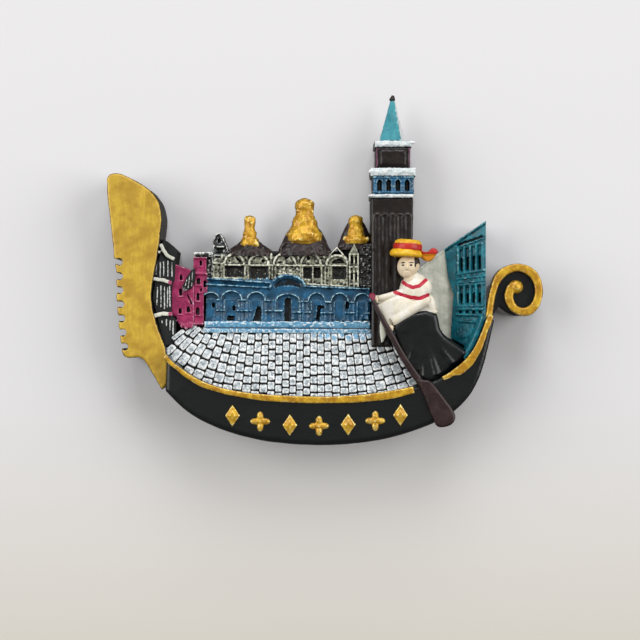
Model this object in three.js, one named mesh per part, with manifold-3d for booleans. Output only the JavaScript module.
// A cast resin gondola magnet: a black hull that carries a town square in relief, with a gilded bow iron,
// a curled stern, a leaning oarsman and a round magnet glued into the back.
//
// All sizes are in millimetres. The relief is drawn on a board: x to the right, y up and z out of the back,
// with z = 0 on the magnet's face. The board is then stood upright, so that in the part's own frame +Z is up,
// the viewer is at -Y and the origin is the middle of the magnet's face.
import * as THREE from "three";
import { mergeVertices } from "three/addons/utils/BufferGeometryUtils.js";
import Module from "manifold-3d";

const wasm = await Module();
wasm.setup();

// ---- Driving dimensions ---------------------------------------------------------------------------------
const BACK = 0.3; // the casting's flat back; the magnet stands this proud of it
const PLATE = 3.5; // front of the backing plate
const HULL_FRONT = 14.5;
const GAP = 0.3; // clearance round a piece that is cut by its neighbour
const SEAM = 0.1; // clearance along a seam that both neighbours share

const MAGNET = { radius: 10, thickness: 2.2, glue: 0.3, pocketClearance: 0.2 };
const TRIM = { width: 1.3, proud: 0.8 };
const PAVING = { frontDepth: 13.2, backDepth: 7.0, bottom: -11.5, top: 1.8 };
const SQUARE = { left: -22.7, right: 10.9 }; // the church front, between the pink houses and the bell tower
const TOWER = { left: 11.2, right: 19.6, foot: -1.2, top: 28.8, front: 9.0 };
const STOREYS = { belfry: 29.6, upperCornice: 33.2, attic: 34.9, eaves: 39.2, spire: 40.5, finial: 49.0 };
const UPPER_SHIFT = 0.3; // how far right of the shaft the tower's upper storeys stand
const SPIRE = { halfWidth: 2.26, topHalfWidth: 0.4, turn: 0.28, depth: 5.6 };
const SKYLINE = 16.9; // top of the backing plate beside the church
const DOME_FOOT = { left: 18.5, centre: 18.5, right: 19.7 };
const SCROLL = { x: 41.2, y: 9.9, radius: 5.0, depth: 9.4, bandWidth: 1.6, bandProud: 1.3 };
const BOW = { front: 11.0, teeth: 7, firstNotch: 15.7, pitch: 2.85, notchRadius: 0.7 };
const OAR = { handleDepth: 15.6, neckDepth: 15.2, shaftRadius: 0.6, bladeThickness: 1.2 };
const FIGURE_BACK = 9.3; // the oarsman stands clear of the bell tower's front

// ---- Paints ---------------------------------------------------------------------------------------------
const paint = (color, roughness = 0.4, metalness = 0) =>
  new THREE.MeshStandardMaterial({ color, roughness, metalness });

const PAINTS = {
  hullBlack: paint(0x161b1d, 0.35),
  gilt: paint(0xc9a03a, 0.35, 0.7),
  pavingSilver: paint(0x9fa5a8, 0.35),
  facadeBlue: paint(0x3d7fa8, 0.35),
  facadeGrey: paint(0x8f9088, 0.5),
  domeBrown: paint(0x35211f, 0.4),
  pink: paint(0xc02c7c, 0.4),
  teal: paint(0x17848f, 0.35),
  cream: paint(0xd9d6c6, 0.5),
  snow: paint(0xeeeeec, 0.45),
  skin: paint(0xeed3bd, 0.5),
  straw: paint(0xf0b424, 0.45),
  ribbonRed: paint(0xd23a26, 0.45),
  oarBrown: paint(0x3a1d1c, 0.4),
  ferrite: paint(0x3a3a3d, 0.7),
  glue: paint(0xd8d2c0, 0.5),
};

// ---- The board and its pieces ---------------------------------------------------------------------------
const magnetFigure = new THREE.Group();
const board = new THREE.Group();
board.rotation.x = Math.PI / 2;
magnetFigure.add(board);

/** Adds one named piece to the board. */
function addPiece(name, geometry, material, place = [0, 0, 0], parent = board) {
  const mesh = new THREE.Mesh(geometry, material);
  mesh.name = name;
  mesh.position.set(...place);
  parent.add(mesh);
  return mesh;
}

// ---- Shapes and solids ----------------------------------------------------------------------------------
const toVectors = (points) => points.map(([x, y]) => new THREE.Vector2(x, y));

/** A closed outline with straight sides. */
const polygon = (...points) => new THREE.Shape(toVectors(points));

/** A closed outline that is one smooth curve through the points. */
function blob(...points) {
  const closed = [...points, points[0]];
  const shape = new THREE.Shape().moveTo(...closed[0]);
  shape.splineThru(toVectors(closed.slice(1)));
  return shape;
}

const rectangle = (left, bottom, right, top) =>
  polygon([left, bottom], [right, bottom], [right, top], [left, top]);

/** A doorway: a rectangle with a half-round head. */
function doorway(middle, foot, width, height) {
  const half = width / 2;
  const spring = foot + height - half;
  const shape = new THREE.Shape().moveTo(middle - half, foot);
  shape.lineTo(middle + half, foot);
  shape.lineTo(middle + half, spring);
  shape.absarc(middle, spring, half, 0, Math.PI, false);
  return shape;
}

/** A slab of the outline from depth z0 to z1, its edges eased by the bevel. */
function slab(shape, z0, z1, bevel = 0, curveSegments = 5) {
  const geometry = new THREE.ExtrudeGeometry(shape, {
    depth: z1 - z0 - 2 * bevel,
    bevelEnabled: bevel > 0,
    bevelThickness: bevel,
    bevelSize: bevel,
    bevelOffset: -bevel,
    bevelSegments: 1,
    curveSegments,
  });
  return geometry.translate(0, 0, z0 + bevel);
}

/** A prism along x, from its outline in (depth, height). */
const prismAcross = (shape, x0, x1) =>
  new THREE.ExtrudeGeometry(shape, { depth: x1 - x0, bevelEnabled: false })
    .rotateY(-Math.PI / 2)
    .translate(x1, 0, 0);

/** A prism along y, from its plan in (x, depth). */
const prismUp = (shape, y0, y1) =>
  new THREE.ExtrudeGeometry(shape, { depth: y1 - y0, bevelEnabled: false })
    .rotateX(Math.PI / 2)
    .translate(0, y1, 0);

/** A turned solid that stands along y, from its profile of [radius, height] pairs. */
const turned = (profile, segments = 16) =>
  new THREE.LatheGeometry(toVectors(profile), segments);

/** A closed geometry as a solid that can be cut and joined. */
function solid(geometry) {
  const bare = geometry.index ? geometry.toNonIndexed() : geometry.clone();
  bare.deleteAttribute("normal");
  bare.deleteAttribute("uv");
  const merged = mergeVertices(bare, 1e-4);
  return new wasm.Manifold(
    new wasm.Mesh({
      numProp: 3,
      vertProperties: merged.attributes.position.array,
      triVerts: new Uint32Array(merged.index.array),
    }),
  );
}

/** A solid back as a geometry. */
function geometryOf(body) {
  const { vertProperties, triVerts } = body.getMesh();
  const geometry = new THREE.BufferGeometry();
  geometry.setAttribute("position", new THREE.BufferAttribute(vertProperties, 3));
  geometry.setIndex(new THREE.BufferAttribute(triVerts, 1));
  geometry.computeVertexNormals();
  return geometry;
}

/** The first geometry with the others cut out of it. */
const cut = (geometry, ...cutters) =>
  geometryOf(cutters.reduce((body, cutter) => body.subtract(solid(cutter)), solid(geometry)));

/** A slab whose outline is grown by a clearance, for cutting a neighbour. */
const grownSlab = (shape, z0, z1, clearance = GAP) =>
  new THREE.ExtrudeGeometry(shape, {
    depth: z1 - z0,
    bevelThickness: 0.01,
    bevelSize: clearance,
    bevelSegments: 1,
    curveSegments: 5,
  }).translate(0, 0, z0);

/** What two geometries have in common. */
const common = (a, b) => geometryOf(solid(a).intersect(solid(b)));

/** All the geometries joined into one. */
const joined = (first, ...others) =>
  geometryOf(others.reduce((body, other) => body.add(solid(other)), solid(first)));

/** The outline of a band of the given width that follows a curve, or the part of it from u0 to u1. */
function bandAlong(curve, width, steps, u0 = 0, u1 = 1) {
  const left = [];
  const right = [];
  for (let i = 0; i <= steps; i++) {
    const u = u0 + ((u1 - u0) * i) / steps;
    const point = curve.getPointAt(u);
    const tangent = curve.getTangentAt(u);
    const across = new THREE.Vector2(-tangent.y, tangent.x).multiplyScalar(width / 2);
    left.push(point.clone().add(across));
    right.unshift(point.clone().sub(across));
  }
  return new THREE.Shape([...left, ...right]);
}

// ---- Hull, back and paving ------------------------------------------------------------------------------
// The gunwale is the hull's upper edge, from the bow on the left to the foot of the stern scroll.
const GUNWALE = [
  [-29.8, -2.8], [-27.8, -4.9], [-22, -8.5], [-13, -10.6], [2, -11.3],
  [14, -10.3], [24, -7.8], [30.6, -3], [34.1, 4.5],
];
// The keel line is its lower edge.
const KEEL = [
  [-30.0, -10.2], [-25.4, -14.5], [-19, -17.8], [-10, -20.2], [1, -21],
  [12, -20.1], [21, -17.6], [28, -13.9], [32.6, -7.5], [35.6, 4.0],
];
const gunwale = new THREE.SplineCurve(toVectors(GUNWALE));

function hullShape() {
  const shape = new THREE.Shape().moveTo(...GUNWALE[0]);
  shape.splineThru(toVectors([...GUNWALE.slice(1)]));
  const keel = [...KEEL].reverse();
  shape.lineTo(...keel[0]);
  shape.splineThru(toVectors(keel.slice(1)));
  return shape;
}

/** A region above the gunwale, closed over the top by the points given from right to left. */
function aboveGunwale(lift, ...over) {
  const edge = GUNWALE.map(([x, y]) => [x, y + lift]);
  const shape = new THREE.Shape().moveTo(...edge[0]);
  shape.splineThru(toVectors(edge.slice(1)));
  over.forEach((point) => shape.lineTo(...point));
  return shape;
}

function addHull() {
  addPiece("hull", slab(hullShape(), BACK, HULL_FRONT), PAINTS.hullBlack);
}

function addBackingPlate() {
  const { left, right, top } = TOWER;
  const skyline = aboveGunwale(
    2 * SEAM,
    [34.5, 5.2], [34.5, 23.8], [26.3, 18.3], [20.0, 13.4], [right, 13.4], [right, top],
    [left, top], [left, DOME_FOOT.right], [5.5, DOME_FOOT.right], [5.5, DOME_FOOT.left],
    [-17.9, DOME_FOOT.left], [-17.9, SKYLINE], [-29.0, SKYLINE], [-29.0, -1.0],
  );
  const pocket = new THREE.CylinderGeometry(
    MAGNET.radius + MAGNET.pocketClearance,
    MAGNET.radius + MAGNET.pocketClearance,
    MAGNET.thickness + MAGNET.glue,
    48,
  );
  pocket.rotateX(Math.PI / 2).translate(0, 0, (MAGNET.thickness + MAGNET.glue) / 2);
  addPiece("backing_plate", cut(slab(skyline, BACK, PLATE), pocket), PAINTS.hullBlack);
}

function addMagnet() {
  const disc = (thickness) =>
    new THREE.CylinderGeometry(MAGNET.radius, MAGNET.radius, thickness, 48).rotateX(Math.PI / 2);
  addPiece("magnet_disc", disc(MAGNET.thickness), PAINTS.ferrite, [0, 0, MAGNET.thickness / 2]);
  const glueMiddle = MAGNET.thickness + MAGNET.glue / 2;
  addPiece("magnet_glue", disc(MAGNET.glue), PAINTS.glue, [0, 0, glueMiddle]);
}

/** The depth of the sloping paving at a height, lifted by a clearance. */
const pavingDepth = (y, lift = 0) => {
  const { frontDepth, backDepth, bottom, top } = PAVING;
  return frontDepth + ((backDepth - frontDepth) * (y - bottom)) / (top - bottom) + lift;
};

/** The wedge that the paving fills, from the plate out to the sloping face. */
function pavingWedge(lift = 0, x0 = -40, x1 = 40, y0 = -14, y1 = 8) {
  const outline = polygon(
    [PLATE, y0], [pavingDepth(y0, lift), y0], [pavingDepth(y1, lift), y1], [PLATE, y1],
  );
  return prismAcross(outline, x0, x1);
}

function addPaving() {
  const ground = aboveGunwale(
    2 * SEAM,
    [34.1, 6], [TOWER.right + SEAM, 6], [TOWER.right + SEAM, TOWER.foot - SEAM],
    [TOWER.left - SEAM, TOWER.foot - SEAM], [TOWER.left - SEAM, PAVING.top],
    [-22.6, PAVING.top], [-25.2, 2.3], [-28.6, -1.0],
  );
  const underHouses = polygon([19, 0.2], [27.1, 0.2], [32.6, -3.2], [40, -3.2], [40, 9], [19, 9]);
  const slope = common(slab(ground, PLATE, HULL_FRONT), pavingWedge());
  addPiece("paving", cut(slope, slab(underHouses, 0, 20)), PAINTS.pavingSilver);
}

function addTrim() {
  const below = GUNWALE.map(([x, y]) => [x + (x > 25 ? 0.5 : 0), y - TRIM.width / 2 - SEAM]);
  const line = new THREE.SplineCurve(toVectors(below));
  // The oar crosses the band, which stops on either side of it.
  const front = HULL_FRONT + TRIM.proud;
  const bowPart = bandAlong(line, TRIM.width, 26, 0, 0.7);
  addPiece("gunwale_trim_bow", slab(bowPart, HULL_FRONT, front), PAINTS.gilt);
  const sternPart = bandAlong(line, TRIM.width, 12, 0.79, 1);
  addPiece("gunwale_trim_stern", slab(sternPart, HULL_FRONT, front), PAINTS.gilt);
}

// ---- Bow iron and stern scroll --------------------------------------------------------------------------
/** The line of the teeth's tips, which bows out to the left. */
const teethLine = (y) => -40.4 + 0.0045 * (14.3 - y) ** 2;

function addBowIron() {
  const blade = new THREE.Shape().moveTo(teethLine(-2.9), -2.9);
  [0.2, 3.1, 8.4, 14.3].forEach((y) => blade.lineTo(teethLine(y), y));
  blade.lineTo(-40.8, 17.1);
  blade.lineTo(-42.4, 32.6);
  blade.splineThru(
    toVectors([
      [-41, 33.6], [-36.6, 32.2], [-32.6, 28.8], [-31.2, 23.3], [-32.4, 15.5], [-33.3, 8.5],
      [-31.9, 2.2], [-30.4, -3.4], [-30.3, -8], [-31.3, -9.4],
    ]),
  );
  blade.lineTo(-34.9, -3.9);
  blade.lineTo(-38.1, -3.6);
  const notches = [];
  for (let i = 0; i < BOW.teeth; i++) {
    const y = BOW.firstNotch - i * BOW.pitch;
    const edge = teethLine(y);
    const notch = new THREE.CylinderGeometry(BOW.notchRadius, BOW.notchRadius, 14, 10);
    notches.push(notch.rotateX(Math.PI / 2).translate(edge + 0.7, y, 7));
    const mouth = new THREE.BoxGeometry(1.4, 1.0, 14).translate(edge, y, 7);
    notches.push(mouth);
  }
  addPiece("bow_iron", cut(slab(blade, BACK, BOW.front, 0.3, 3), ...notches), PAINTS.gilt);
}

function addSternScroll() {
  const boss = new THREE.Shape().absarc(SCROLL.x, SCROLL.y, SCROLL.radius, 0, 2 * Math.PI, false);
  const neck = polygon([34.7, 4.7], [35.8, 4.7], [37.4, 7.0], [37.4, 12.6], [35.7, 10.9]);
  const core = joined(slab(boss, BACK, SCROLL.depth, 0.3, 24), slab(neck, BACK, SCROLL.depth));
  addPiece("stern_scroll_core", core, PAINTS.hullBlack);

  const curl = new THREE.SplineCurve(
    toVectors([
      [35.1, 5.4], [36.0, 9.1], [36.9, 12.0], [39.0, 14.2], [41.7, 14.7], [44.2, 13.1], [45.1, 9.7],
      [43.9, 6.6], [41.3, 5.6], [39.2, 7.4], [39.2, 10.2], [40.9, 11.2],
    ]),
  );
  const band = bandAlong(curl, SCROLL.bandWidth, 56);
  const front = SCROLL.depth + SCROLL.bandProud;
  addPiece("stern_scroll_band", slab(band, SCROLL.depth, front), PAINTS.gilt);
}

// ---- Church ---------------------------------------------------------------------------------------------
const BAYS = [-17.2, -12.1, 0.1, 4.8]; // middles of the side portals
const MIDDLE_BAY = -5.9;

function addChurchFront() {
  const { left, right } = SQUARE;
  const wall = new THREE.Shape().moveTo(left, 3.1);
  wall.lineTo(right, 3.1);
  wall.lineTo(right, 10.3);
  wall.lineTo(MIDDLE_BAY + 3.6, 10.7);
  wall.absarc(MIDDLE_BAY, 10.2, 3.3, 0.15, Math.PI - 0.15, false);
  wall.lineTo(left + 0.3, 12.3);
  const doors = BAYS.map((x) => slab(doorway(x, 3.6, 1.6, 4), 5.7, 8));
  doors.push(slab(doorway(MIDDLE_BAY, 3.6, 1.8, 5.4), 5.5, 8));
  addPiece("church_lower_front", cut(slab(wall, PLATE, 6.5), ...doors), PAINTS.facadeBlue);

  addPiece("church_steps", slab(rectangle(left, 1.9, right, 3.1), PLATE, 7.4), PAINTS.facadeBlue);
}

function addChurchUpperFront() {
  const { left, right } = SQUARE;
  const wall = polygon(
    [left + 1.2, 12.5], [MIDDLE_BAY - 3.6, 11.1], [MIDDLE_BAY - 2.7, 13.0], [MIDDLE_BAY, 14.0],
    [MIDDLE_BAY + 2.7, 13.0], [MIDDLE_BAY + 3.8, 10.9], [right - 4.2, 10.5],
    [right - 4.2, 17.0], [left + 4.9, 17.0], [left + 4.9, SKYLINE - SEAM], [left + 1.2, SKYLINE - SEAM],
  );
  const lunettes = [-16.7, -11.6, -6.2, -1.1, 4.3].map((x) =>
    slab(doorway(x, 14, 4.8, 4.4), PLATE, 5.5),
  );
  const openings = [-17, -11.7, 0.3, 4.9].map((x) =>
    slab(rectangle(x - 1.5, 12.8, x + 1.5, 14.9), 4.9, 8),
  );
  const front = cut(joined(slab(wall, PLATE, 5.5), ...lunettes), ...openings);
  addPiece("church_upper_front", front, PAINTS.facadeGrey);

  const turret = polygon(
    [-21.5, SKYLINE], [-18.9, SKYLINE], [-19.2, 20.6], [-20.3, 22.0], [-21.3, 20.6],
  );
  addPiece("church_turret", slab(turret, BACK, 4.6, 0.2), PAINTS.facadeGrey);

  const pinnacle = polygon([6.9, 10.8], [8.5, 10.8], [8.5, 17.4], [7.7, 19.6], [6.9, 17.4]);
  addPiece("church_pinnacle", slab(pinnacle, PLATE, 6.3), PAINTS.facadeGrey);
  const house = rectangle(8.7, 10.6, right, 19.5);
  addPiece("brick_house", slab(house, PLATE, 5.9), PAINTS.domeBrown);
}

/** A dome and the gilded lantern on it. The dome's foot is at the height y, and it is flattened in depth. */
function addDome(side, x, y, radius, capRadius, height) {
  const shoulder = y + 0.35 * height;
  const dome = turned([
    [0, y], [radius, y], [radius * 0.86, y + 0.14 * height], [capRadius, shoulder], [0, shoulder],
  ]).scale(1, 1, 0.6);
  addPiece(`dome_${side}`, dome, PAINTS.domeBrown, [x, 0, PLATE + 0.6]);
  const skirt = capRadius * 1.12;
  const neck = capRadius * 0.52;
  const lantern = turned([
    [0, shoulder], [skirt, shoulder], [skirt * 0.86, y + 0.5 * height], [neck, y + 0.66 * height],
    [neck, y + 0.74 * height], [neck * 1.2, y + 0.86 * height], [neck * 0.7, y + height],
    [0, y + height],
  ]);
  addPiece(`lantern_${side}`, lantern, PAINTS.gilt, [x, 0, PLATE + 0.6]);
}

function addDomes() {
  addDome("left", -13.7, DOME_FOOT.left, 4.1, 2.1, 7.2);
  addDome("centre", -2.5, DOME_FOOT.centre, 5.5, 3.1, 10.8);
  addDome("right", 8.2, DOME_FOOT.right, 2.7, 2.1, 6.2);
}

// ---- Houses beside the square ---------------------------------------------------------------------------
function addHousesOnTheLeft() {
  const low = polygon([-28.7, 3.3], [-25.1, 3.3], [-25.1, 14.6], [-28.7, 15.3]);
  addPiece("pink_house_low", slab(low, PLATE, 7.2, 0.15), PAINTS.pink);
  const tall = rectangle(-25.0, 2.6, -22.8, 16.8);
  addPiece("pink_house_tall", slab(tall, PLATE, 6.8, 0.15), PAINTS.pink);
  const roof = rectangle(-25.2, SKYLINE, -21.8, 18.2);
  addPiece("pink_house_roof", slab(roof, BACK, 7.0, 0.2), PAINTS.facadeGrey);

  // The dark palace stands in front, its wall turned towards the square.
  const walls = polygon(
    [-30.7, -0.7], [-29.0, -0.7], [-29.0, 17.9], [-30.7, 20.3],
    [-31.9, 15.5], [-32.8, 8.5], [-31.4, 2.2],
  );
  const plan = polygon([-33, BACK], [-28.9, BACK], [-28.9, 7.4], [-33, 9.4]);
  const palace = common(slab(walls, BACK, 9.5), prismUp(plan, -4, 22));
  addPiece("dark_palace", palace, PAINTS.hullBlack);
}

function addPalaceOnTheRight() {
  const wall = polygon(
    [27.6, 0.3], [31.1, -1.9], [33.4, 3.4], [34.3, 8.0], [34.4, 23.8],
    [26.5, 18.4], [27.2, 12.6], [28.2, 9.4],
  );
  const plan = polygon([26.4, PLATE], [34.5, PLATE], [34.5, 9.8], [26.4, 5.2]);
  const front = common(slab(wall, PLATE, 9.9), prismUp(plan, -4, 26));
  addPiece("teal_palace", front, PAINTS.teal);
  const gable = polygon(
    [20.0, 0.3], [27.3, 0.3], [27.9, 9.4], [26.9, 12.6], [26.2, 18.2], [20.0, 13.4],
  );
  addPiece("cream_gable_wall", slab(gable, PLATE, 4.8), PAINTS.cream);
}

// ---- Bell tower -----------------------------------------------------------------------------------------
/** A square storey of the tower, wider or narrower than the shaft by the overhang. */
function storey(name, y0, y1, overhang, material, back = BACK, shift = UPPER_SHIFT) {
  const shape = rectangle(TOWER.left - overhang + shift, y0, TOWER.right + overhang + shift, y1);
  addPiece(name, slab(shape, back, TOWER.front + overhang, 0.15), material);
}

function addBellTower() {
  storey("tower_shaft", TOWER.foot, TOWER.top, 0, PAINTS.domeBrown, PLATE, 0);
  storey("tower_lower_cornice", TOWER.top, STOREYS.belfry, 0.3, PAINTS.snow, BACK, 0);

  const middle = (TOWER.left + TOWER.right) / 2 + UPPER_SHIFT;
  const wall = rectangle(
    TOWER.left + UPPER_SHIFT, STOREYS.belfry, TOWER.right + UPPER_SHIFT, STOREYS.upperCornice,
  );
  const arches = [-2.85, -0.95, 0.95, 2.85].map((x) =>
    slab(doorway(middle + x, STOREYS.belfry + 0.5, 1.0, 2.4), TOWER.front - 1.2, TOWER.front + 1, 0, 4),
  );
  addPiece("tower_belfry", cut(slab(wall, BACK, TOWER.front, 0.15), ...arches), PAINTS.facadeBlue);

  storey("tower_upper_cornice", STOREYS.upperCornice, STOREYS.attic, 0.5, PAINTS.snow);
  storey("tower_attic", STOREYS.attic, STOREYS.eaves, -0.8, PAINTS.domeBrown);
  storey("tower_eaves", STOREYS.eaves, STOREYS.spire, -0.3, PAINTS.snow);

  // A cone of four sides, turned so that its right-hand face shows beside the front one.
  const height = STOREYS.finial - STOREYS.spire;
  const corner = Math.SQRT2;
  const spire = new THREE.CylinderGeometry(
    SPIRE.topHalfWidth * corner, SPIRE.halfWidth * corner, height, 4,
  );
  spire.rotateY(Math.PI / 4 - SPIRE.turn);
  addPiece("tower_spire", spire, PAINTS.teal, [middle, STOREYS.spire + height / 2, SPIRE.depth]);
  const finial = turned([[0, 0], [0.45, 0], [0.55, 0.5], [0.3, 1.0], [0, 1.1]], 10);
  addPiece("tower_finial", finial, PAINTS.domeBrown, [middle, STOREYS.finial, SPIRE.depth]);
}

// ---- Oarsman and oar ------------------------------------------------------------------------------------
const OAR_HANDLE = [11.9, 9.3];
const OAR_NECK = [21.4, -8.3];
const OAR_BLADE = [
  [20.4, -8.2], [22.9, -8.2], [25.4, -11.4], [27.6, -14.4], [27.6, -15.9], [26.5, -16.9],
  [24.4, -17.35], [23.3, -15.9], [21.6, -11.7],
];

function oarGeometry() {
  const section = new THREE.Shape().absarc(0, 0, OAR.shaftRadius, 0, 2 * Math.PI, false);
  const shaftLine = new THREE.LineCurve3(
    new THREE.Vector3(...OAR_HANDLE, OAR.handleDepth),
    new THREE.Vector3(...OAR_NECK, OAR.neckDepth),
  );
  const shaft = new THREE.ExtrudeGeometry(section, {
    extrudePath: shaftLine, steps: 1, curveSegments: 5, bevelEnabled: false,
  });
  const half = OAR.bladeThickness / 2;
  const paddle = slab(polygon(...OAR_BLADE), OAR.neckDepth - half, OAR.neckDepth + half, 0.2);
  return joined(shaft, paddle);
}

/** The oar's shaft grown by the clearance, for cutting the pieces that it passes. */
function oarClearance() {
  const section = new THREE.Shape().absarc(0, 0, OAR.shaftRadius + GAP, 0, 2 * Math.PI, false);
  const line = new THREE.LineCurve3(
    new THREE.Vector3(OAR_HANDLE[0] - 1, OAR_HANDLE[1] + 1.85, OAR.handleDepth),
    new THREE.Vector3(...OAR_NECK, OAR.neckDepth),
  );
  return new THREE.ExtrudeGeometry(section, {
    extrudePath: line, steps: 1, curveSegments: 5, bevelEnabled: false,
  });
}

function addOarsman() {
  const robe = polygon(
    [19.9, 4.9], [16.2, 2.6], [16.2, -0.6], [19.4, -5.2], [21.6, -7.9], [25.4, -6.6],
    [28.4, -4.4], [30.7, -1.9], [27.4, 0.4], [24.9, 2.6], [24.3, 4.9],
  );
  const chest = polygon(
    [19.7, 5.1], [17.6, 6.6], [16.8, 8.6], [17.3, 10.9], [18.6, 12.2],
    [22.2, 12.2], [23.3, 10.6], [23.5, 8.4], [24.2, 5.1],
  );
  // The wide sleeves hang from the forearms, one before the other.
  const nearSleeve = polygon(
    [21.2, 8.2], [18.4, 8.6], [15.6, 8.3], [13.3, 7.3], [12.6, 6.6], [13.4, 4.9],
    [14.1, 2.6], [14.9, 2.0], [15.4, 3.1], [17.2, 4.4], [19.4, 5.4],
  );
  const farSleeve = polygon(
    [16.9, 10.5], [15.1, 9.7], [12.0, 9.0], [11.8, 8.2], [12.9, 7.75], [15.3, 8.75], [16.9, 9.0],
  );
  const sleeveRoom = grownSlab(nearSleeve, FIGURE_BACK + 1.5, 20);
  const robeSolid = slab(robe, FIGURE_BACK, 14.9, 0.4);
  const robeGeometry = cut(robeSolid, pavingWedge(GAP), sleeveRoom, oarClearance());
  addPiece("oarsman_robe", robeGeometry, PAINTS.hullBlack);
  const torso = cut(slab(chest, FIGURE_BACK, 14.0, 0.5, 3), sleeveRoom);
  addPiece("oarsman_torso", torso, PAINTS.snow);
  const nearArm = cut(slab(nearSleeve, FIGURE_BACK + 1.8, 14.9, 0.3), oarClearance());
  addPiece("oarsman_near_arm", nearArm, PAINTS.snow);
  const torsoRoom = grownSlab(chest, FIGURE_BACK - 1, 20);
  const farArm = cut(slab(farSleeve, FIGURE_BACK + 1.2, 13.9, 0.3), torsoRoom, sleeveRoom, oarClearance());
  addPiece("oarsman_far_arm", farArm, PAINTS.snow);

  const head = new THREE.SphereGeometry(2.05, 16, 12).scale(1, 1.08, 0.95);
  const headRoom = slab(chest, 9, 16, 0, 3).translate(0, GAP, 0);
  const hatRoom = new THREE.BoxGeometry(8, 4, 8).rotateZ(-0.07).translate(0.2, 3.4, 0);
  const headPlace = [18.35, 14.65, 12.6];
  const backToHead = headPlace.map((v) => -v);
  addPiece(
    "oarsman_head", cut(head, hatRoom, headRoom.translate(...backToHead)), PAINTS.skin, headPlace,
  );

  const hat = new THREE.Group();
  hat.position.set(18.6, 16.3, 12.6);
  hat.rotation.z = -0.07;
  board.add(hat);
  const boater = turned([[0, 0], [3.3, 0], [3.5, 0.4], [3.2, 0.8], [2.6, 0.8], [2.6, 1.4], [0, 1.4]], 24);
  addPiece("straw_hat_brim", boater, PAINTS.straw, [0, 0, 0], hat);
  const bandRing = turned([[0, 0], [2.7, 0], [2.7, 1.1], [0, 1.1]], 24);
  addPiece("hat_band", bandRing, PAINTS.ribbonRed, [0, 1.4, 0], hat);
  const crown = turned([[0, 0], [2.65, 0], [2.55, 0.7], [2.2, 0.95], [0, 0.95]], 24);
  addPiece("straw_hat_crown", crown, PAINTS.straw, [0, 2.5, 0], hat);
  const ribbon = blob([0, 0], [1.0, 0.5], [2.0, 0.4], [2.6, 0.9], [3.0, 0.2], [2.2, -0.9], [1.0, -1.3]);
  addPiece("hat_ribbon", slab(ribbon, 11.6, 12.8, 0.2, 3), PAINTS.ribbonRed, [22.4, 16.6, 0]);

  addPiece("oar", oarGeometry(), PAINTS.oarBrown);
}

// ---- Raised ornaments on the hull -----------------------------------------------------------------------
/** A four-petalled flower. */
function rosette(radius) {
  const shape = new THREE.Shape();
  const steps = 32;
  for (let i = 0; i < steps; i++) {
    const angle = (2 * Math.PI * i) / steps;
    const reach = radius * (0.72 + 0.28 * Math.cos(4 * angle));
    const place = [reach * Math.cos(angle), reach * Math.sin(angle)];
    if (i === 0) shape.moveTo(...place);
    else shape.lineTo(...place);
  }
  return shape;
}

const lozenge = (halfWidth, halfHeight) =>
  polygon([halfWidth, 0], [0, halfHeight], [-halfWidth, 0], [0, -halfHeight]);

function addOrnaments() {
  const places = [
    [-16.6, -15.0], [-11.1, -16.2], [-5.2, -16.9], [0.6, -17.1], [6.4, -16.8], [11.8, -16.1], [16.8, -14.9],
  ];
  places.forEach(([x, y], i) => {
    const shape = i % 2 === 0 ? lozenge(1.5, 2.1) : rosette(1.9);
    const relief = slab(shape, HULL_FRONT, HULL_FRONT + 0.8, 0.2);
    addPiece(`hull_ornament_${i + 1}`, relief, PAINTS.gilt, [x, y, 0]);
  });
}

addHull();
addBackingPlate();
addMagnet();
addPaving();
addTrim();
addBowIron();
addSternScroll();
addChurchFront();
addChurchUpperFront();
addDomes();
addHousesOnTheLeft();
addPalaceOnTheRight();
addBellTower();
addOarsman();
addOrnaments();

export default magnetFigure;
